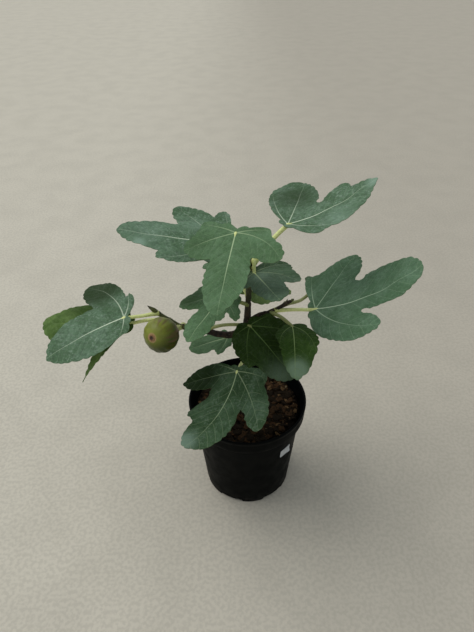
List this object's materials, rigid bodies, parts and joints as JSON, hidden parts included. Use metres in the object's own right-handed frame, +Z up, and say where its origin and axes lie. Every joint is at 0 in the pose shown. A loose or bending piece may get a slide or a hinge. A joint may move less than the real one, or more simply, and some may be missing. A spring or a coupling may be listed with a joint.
{
  "type": "potted fig tree",
  "caption": "Young fig tree with lobed leaves on long stalks and a ripening fig, in a round black nursery pot filled with bark mix.",
  "frame": {"origin": "on the pot's axis at the level of its feet", "axes": "+Z up; -Y towards the front, where most of the lower leaves hang"},
  "size_m": [0.3536, 0.2007, 0.3636],
  "materials": {
    "pot_plastic": "satin black moulded plastic",
    "bark_mix": "coarse moist bark chips",
    "label_paper": "blank white film",
    "bark": "dark rough young bark",
    "leaf": "rough grey-green blade with a faint bloom",
    "fig_skin": "olive skin streaked with purple brown"
  },
  "bodies": {
    "root": {"pot": "pot_plastic", "potting_mix": "bark_mix", "label": "label_paper", "trunk": "bark", "left_bough": "bark", "right_bough": "bark", "fig": "fig_skin", "leaf_top_right": "leaf", "leaf_top_left": "leaf", "leaf_top_front": "leaf", "leaf_mid_left": "leaf", "leaf_mid_right": "leaf", "leaf_mid_back": "leaf", "leaf_back": "leaf", "leaf_low_left": "leaf", "leaf_pot_front": "leaf", "leaf_centre_front": "leaf", "leaf_far_left": "leaf", "leaf_far_left_under": "leaf", "leaf_right": "leaf", "leaf_right_under": "leaf", "leaf_right_front": "leaf"}
  },
  "joints": []
}
